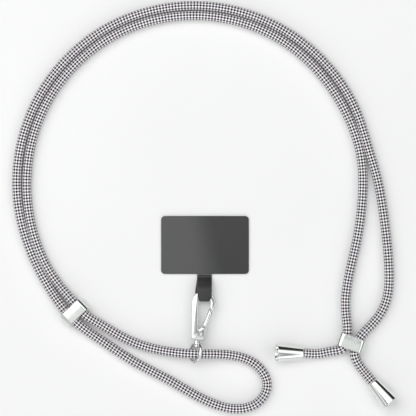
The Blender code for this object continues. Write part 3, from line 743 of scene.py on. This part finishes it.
def hook_outline(rivet):
    """The hook's outline in its own plane: base, left arm, arch and nose."""
    left, right = -HOOK_BASE_HALF_WIDTH, HOOK_BASE_HALF_WIDTH
    ahead, across = gate_directions()
    middle = rivet + FORK_TOP * ahead
    fork_right = middle + across * (right + FORK_OVERHANG - middle[0]) / across[0]
    fork_left = middle - across * (GATE_WIDTH / 2 - FORK_INSET)
    inner, tip = nose_points()
    outline = arc((left + HOOK_CORNER, HOOK_BASE + HOOK_CORNER), HOOK_CORNER, 188, 270, 8)
    outline += arc((right - HOOK_HEEL, HOOK_BASE + HOOK_HEEL), HOOK_HEEL, 270, 360, 12)
    outline += [tuple(fork_right), tuple(fork_left)]
    window_end = (WINDOW_END_X, ARCH_CENTRE - WINDOW_DEPTH + WINDOW_END_RADIUS)
    outline += arc(window_end, WINDOW_END_RADIUS, 0, -188, 9)
    outline += arc((WINDOW_OFFSET, ARCH_CENTRE), WINDOW_RADIUS, 180 + ARCH_FLARE, -4, 32)
    outline += [tuple(inner), tuple(tip)]
    outline += arc((0, ARCH_CENTRE), ARCH_RADIUS, -ARCH_FLARE, 180 + ARCH_FLARE, 48)
    return outline


def round_bar(name, radius, low, high):
    """A round bar about Z between two heights."""
    return turned_shape(name, [(0, high), (radius, high), (radius, low), (0, low)], 32)


def make_hook(eye_frame, gate_frame, finish):
    """The snap hook's body, forked at its base for the gate and bored for the post."""
    rivet = (eye_frame.inverted() @ gate_frame.to_translation()).xy
    body = flat_plate("hook", [hook_outline(rivet)], HOOK_THICKNESS, HOOK_EDGE, 6)
    reach = TANG_RADIUS + GATE_GAP
    low, high = rivet[1] - reach, rivet[1] + 2 * FORK_TOP
    left, right = rivet[0] - reach, 2 * HOOK_BASE_HALF_WIDTH
    slot = flat_plate("slot", [[(left, low), (right, low), (right, high), (left, high)]], FORK_SLOT)
    hole = round_bar("hole", RIVET_HOLE, -HOOK_THICKNESS, HOOK_THICKNESS)
    hole.transform(Matrix.Translation((*rivet, 0)))
    seat = round_bar("seat", POST_BORE, -POST_SEAT, POST_SEAT)
    seat.transform(Matrix.Translation((0, HOOK_BASE, 0)) @ Matrix.Rotation(-math.pi / 2, 4, "X"))
    mesh = placed(combined("hook", body, [slot, hole, seat], "DIFFERENCE"), eye_frame)
    return add_piece("hook", mesh, "root", "clasp_chrome", ["hook_body"], finish)


def make_gate(eye_frame, gate_frame, finish):
    """The gate: a bar with round edges, and a tang round the rivet."""
    rivet = (eye_frame.inverted() @ gate_frame.to_translation()).xy
    ahead, across = gate_directions()
    left, right = GATE_OFFSET - GATE_WIDTH / 2, GATE_OFFSET + GATE_WIDTH / 2
    inner, tip = nose_points()
    face = (tip - inner).normalized()
    start = inner + Vector((face[1], -face[0])) * GATE_GAP - rivet

    def on_face(offset):
        # Where a line along the gate meets the line of its end face
        gone = start - across * offset
        reach = (gone[0] * face[1] - gone[1] * face[0]) / (ahead[0] * face[1] - ahead[1] * face[0])
        return across * offset + ahead * reach

    corners = [across * left + ahead * GATE_SHOULDER, across * right + ahead * GATE_SHOULDER]
    corners += [on_face(right), on_face(left)]
    bar = flat_plate("gate", [[tuple(corner) for corner in corners]], GATE_THICKNESS, GATE_EDGE, 6)
    lean = math.degrees(GATE_LEAN)
    top = GATE_SHOULDER + GATE_WIDTH
    tang = arc((0, 0), TANG_RADIUS, -180 - lean, -lean, 24)
    tang.append(tuple(across * TANG_RADIUS * TANG_OUTER_SHARE + ahead * top))
    tang.append(tuple(-across * TANG_RADIUS * TANG_INNER_SHARE + ahead * top))
    mesh = combined("gate", bar, [flat_plate("tang", [tang], TANG_THICKNESS)], "UNION")
    hole = round_bar("hole", RIVET_HOLE, -HOOK_THICKNESS, HOOK_THICKNESS)
    mesh = placed(combined("gate", mesh, [hole], "DIFFERENCE"), gate_frame)
    return add_piece("gate", mesh, "gate", "clasp_chrome", ["hook_gate"], finish)


def make_rivet(gate_frame, finish):
    """The gate's rivet: a low head with a dimple on each face of the fork."""
    top = RIVET_SEAT + RIVET_HEAD_HEIGHT
    head = RIVET_HEAD_RADIUS
    rim = head * RIVET_RIM_SHARE
    profile = [(head * share, top - depth * RIVET_HEAD_HEIGHT) for share, depth in RIVET_HEAD_ROWS]
    profile += arc((head - rim, RIVET_SEAT), rim, 60, 0, 4)
    profile += [(RIVET_RADIUS, RIVET_SEAT)]
    profile += [(r, -z) for r, z in reversed(profile)]
    mesh = placed(turned_shape("rivet", profile, 40), gate_frame)
    return add_piece("rivet", mesh, "root", "pin_steel", ["gate_rivet"], finish)


def make_post(eye_frame, finish):
    """The swivel post, from its seat in the hook's base to its head inside the eye."""
    top = EYE_BOSS_LOW - GATE_GAP
    low = top - POST_HEAD_LENGTH
    edge = POST_HEAD_EDGE
    profile = [(0, POST_TOP), (POST_RADIUS, POST_TOP), (POST_RADIUS, top)]
    profile.append((POST_HEAD_RADIUS - POST_HEAD_TAPER, top))
    profile += arc((POST_HEAD_RADIUS - edge, low + edge), edge, 0, -90, 5)
    profile.append((0, low))
    mesh = placed(turned_shape("post", profile, 40), eye_frame @ Matrix.Rotation(-math.pi / 2, 4, "X"))
    return add_piece("post", mesh, "root", "pin_steel", ["swivel_post"], finish)


def make_eye(eye_frame, finish):
    """The eye that the cord runs through: a round wire ring with a bored boss."""
    ring = turned_shape("eye", arc((EYE_RADIUS, 0), EYE_WIRE / 2, 0, -342, 19), 80)
    ring.transform(Matrix.Rotation(math.pi / 2, 4, "Y"))
    upright = Matrix.Rotation(-math.pi / 2, 4, "X")
    outer = EYE_BOSS_RADIUS
    inner = EYE_BOSS_RADIUS - EYE_BOSS_EDGE
    profile = [(0, EYE_BOSS_TOP), (inner, EYE_BOSS_TOP), (outer, EYE_BOSS_TOP - EYE_BOSS_EDGE)]
    profile += [(outer, EYE_BOSS_LOW + EYE_BOSS_EDGE), (inner, EYE_BOSS_LOW), (0, EYE_BOSS_LOW)]
    boss = turned_shape("boss", profile, 48)
    boss.transform(upright)
    mesh = combined("eye", ring, [boss], "UNION")
    bore = round_bar("bore", POST_BORE, EYE_BOSS_LOW / 2, 2 * EYE_BOSS_TOP)
    bore.transform(upright)
    mesh = combined("eye", mesh, [bore], "DIFFERENCE")
    merge_near(mesh)
    placed(mesh, eye_frame @ Matrix.Rotation(EYE_TURN, 4, "Y"))
    return add_piece("eye", mesh, "eye", "clasp_chrome", ["swivel_eye"], finish)


def make_pad(finish):
    """The flat pad with round corners and soft edges."""
    outline = rounded_rectangle(PAD_WIDTH, PAD_DEPTH, PAD_CORNER, 12)
    mesh = flat_plate("pad_patch", [outline], PAD_THICKNESS, PAD_EDGE, 4, 60)
    placed(mesh, Matrix.Translation((0, 0, PAD_THICKNESS / 2)))
    return add_piece("pad_patch", mesh, "root", "pad_fabric", ["pad"], finish)


def tab_sections():
    """The tab's sections: the middle's y and z, its half thickness, its half width and its centre's x."""
    solid = frame["nodes"]["tab"]
    highest = max((solid.matrix_world @ Vector(corner)).z for corner in solid.bound_box)
    low = TAB_THICKNESS / 2
    high = highest - low
    root = -PAD_DEPTH / 2 - TAB_GAP
    sections = []
    for i, (along, height, thick, wide, shift) in enumerate(TAB_ROWS):
        if height is None:
            level = PAD_THICKNESS / 2 + (TAB_LAYER if i < 2 else -TAB_LAYER)
        else:
            level = low + (high - low) * height
        half_thick = thick * TAB_THICKNESS / 2
        half_wide = wide * TAB_WIDTH / 2
        centre = TAB_OFFSET + shift * TAB_WIDTH
        sections.append((root - TAB_DROP * along, level, half_thick, half_wide, centre))
    return sections


def make_tab(finish):
    """The folded strip that holds the hook's arch, with round edges."""
    at = spline_through(tab_sections())
    count = (len(TAB_ROWS) - 1) * TAB_STEPS
    rows = [at(i / TAB_STEPS) for i in range(count + 1)]
    shape = bmesh.new()
    loops = []
    for i, (y, z, half_thick, half_wide, centre) in enumerate(rows):
        ahead = Vector(rows[min(i + 1, count)][:2]) - Vector(rows[max(i - 1, 0)][:2])
        ahead.normalize()
        if i in (0, count):
            ahead = Vector((-1, 0)) if i == 0 else Vector((1, 0))
        out = Vector((ahead[1], -ahead[0])) * half_thick
        shoulder = half_wide - TAB_EDGE_SHARE * half_thick
        section = [(half_wide, 0), (shoulder, 1), (0, 1), (-shoulder, 1)]
        section += [(-x, -lift) for x, lift in section]
        places = [(centre + x, y + out[0] * lift, z + out[1] * lift) for x, lift in section]
        loops.append([shape.verts.new(place) for place in places])
    for a, b in zip(loops, loops[1:]):
        for k in range(len(a)):
            j = (k + 1) % len(a)
            shape.faces.new((a[k], a[j], b[j], b[k]))
    shape.faces.new(loops[0])
    shape.faces.new(loops[-1])
    bmesh.ops.recalc_face_normals(shape, faces=shape.faces)
    mesh = bpy.data.meshes.new("tab_strip")
    shape.to_mesh(mesh)
    shape.free()
    mesh.shade_smooth()
    mesh.set_sharp_from_angle(angle=math.radians(60))
    return add_piece("tab_strip", mesh, "root", "tab_fabric", ["tab"], finish)


def make_camera():
    """A long lens straight above the picture's centre, with the photo's top towards +Y."""
    data = bpy.data.cameras.new("camera")
    data.lens = LENS
    data.sensor_width = SENSOR
    data.clip_end = 10
    camera = bpy.data.objects.new("camera", data)
    camera.location = (*PICTURE_CENTRE, PICTURE_WIDTH * LENS / SENSOR)
    bpy.context.scene.collection.objects.link(camera)
    bpy.context.scene.camera = camera


def make_floor():
    """The pale floor, a little uneven in tone."""
    bpy.ops.mesh.primitive_plane_add(size=4, location=(0, 0, 0))
    floor = bpy.context.object
    floor.name = "floor"
    made, tree, shader = surface("floor", Roughness=0.9)
    here = node(tree, "ShaderNodeTexCoord")
    mottle = node(tree, "ShaderNodeTexNoise", Vector=here.outputs["Object"], Scale=6.0, Detail=2.0)
    colour = ramp(tree, mottle.outputs[0], [(0.3, (0.93, 0.93, 0.93)), (0.7, (0.95, 0.95, 0.95))])
    tree.links.new(colour, shader.inputs["Base Color"])
    floor.data.materials.append(made)


def area_light(name, place, target, size, power):
    """A soft rectangular light that faces a point."""
    data = bpy.data.lights.new(name, "AREA")
    data.shape = "RECTANGLE"
    data.size, data.size_y = size
    data.energy = power
    light = bpy.data.objects.new(name, data)
    light.location = place
    light.rotation_euler = (Vector(target) - Vector(place)).to_track_quat("-Z", "Y").to_euler()
    bpy.context.scene.collection.objects.link(light)


def make_studio():
    """Surroundings that give the metal its dark and pale bands, and one soft light from the upper left."""
    world = bpy.data.worlds.new("studio")
    world.use_nodes = True
    bpy.context.scene.world = world
    tree = world.node_tree
    here = node(tree, "ShaderNodeTexCoord")
    parts = node(tree, "ShaderNodeSeparateXYZ", i0=here.outputs["Generated"])
    x, y, z = parts.outputs
    # Dark low down towards +Y, pale down to the horizon on the other side, and a little dimmer towards -X
    leaned = math_node(tree, "MULTIPLY_ADD", x, ROOM_LEAN_X, z)
    leaned = math_node(tree, "MULTIPLY_ADD", y, ROOM_LEAN_Y, leaned)
    room = ramp(tree, leaned, ROOM_TONES)
    side = node(tree, "ShaderNodeMapRange", i0=x, i1=-0.6, i2=0.1, i3=0.62, i4=1.0)
    grey = node(tree, "ShaderNodeMix", {"data_type": "RGBA", "blend_type": "MULTIPLY"}, Factor=1.0)
    tree.links.new(room, grey.inputs[6])
    tree.links.new(side.outputs[0], grey.inputs[7])
    grey = grey.outputs[2]
    background = tree.nodes["Background"]
    tree.links.new(grey, background.inputs[0])
    background.inputs[1].default_value = ROOM_STRENGTH
    area_light("soft_light", (-0.6, 0.5, 1.2), (0, 0, 0), (1.6, 1.6), 9.0)
    view = bpy.context.scene.view_settings
    view.view_transform = "Standard"
    view.look = "None"


make_camera()
make_studio()
make_floor()
light_yarn = yarn("light_yarn", 0, (0.90, 0.86, 0.90), (1.0, 0.98, 1.0))
dark_yarn = yarn("dark_yarn", 1, (0.006, 0.004, 0.010), (0.022, 0.010, 0.022))
make_cord(light_yarn, dark_yarn)

satin = plated("satin_plating", (0.80, 0.82, 0.80), 0.22, 0.25)
cap_chrome = plated("cap_chrome", (0.82, 0.83, 0.82), 0.10, 0.1)
clasp_chrome = plated("clasp_chrome", (0.82, 0.83, 0.83), 0.09, 0.1)
pin_steel = plated("pin_steel", (0.66, 0.67, 0.67), 0.18, 0.1)
pad_cloth = coated_cloth("pad_cloth", (0.031, 0.031, 0.032), (0.082, 0.082, 0.083), PAD_PAINTED_SHEEN_LINE)
tab_cloth = coated_cloth("tab_cloth", (0.020, 0.020, 0.021), (0.034, 0.034, 0.035), TAB_PAINTED_SHEEN_LINE)

make_slider("slider_shell_left", LEFT_SLIDER, "slider_left", satin)
make_slider("slider_shell_right", RIGHT_SLIDER, "slider_right", satin)
make_cap("cap_left", LEFT_CAP, "end_cap_left", cap_chrome)
make_cap("cap_right", RIGHT_CAP, "end_cap_right", cap_chrome)
eye_frame, gate_frame = clasp_frame()
make_hook(eye_frame, gate_frame, clasp_chrome)
make_gate(eye_frame, gate_frame, clasp_chrome)
make_rivet(gate_frame, pin_steel)
make_post(eye_frame, pin_steel)
make_eye(eye_frame, clasp_chrome)
pad_patch = make_pad(pad_cloth)
make_tab(tab_cloth)
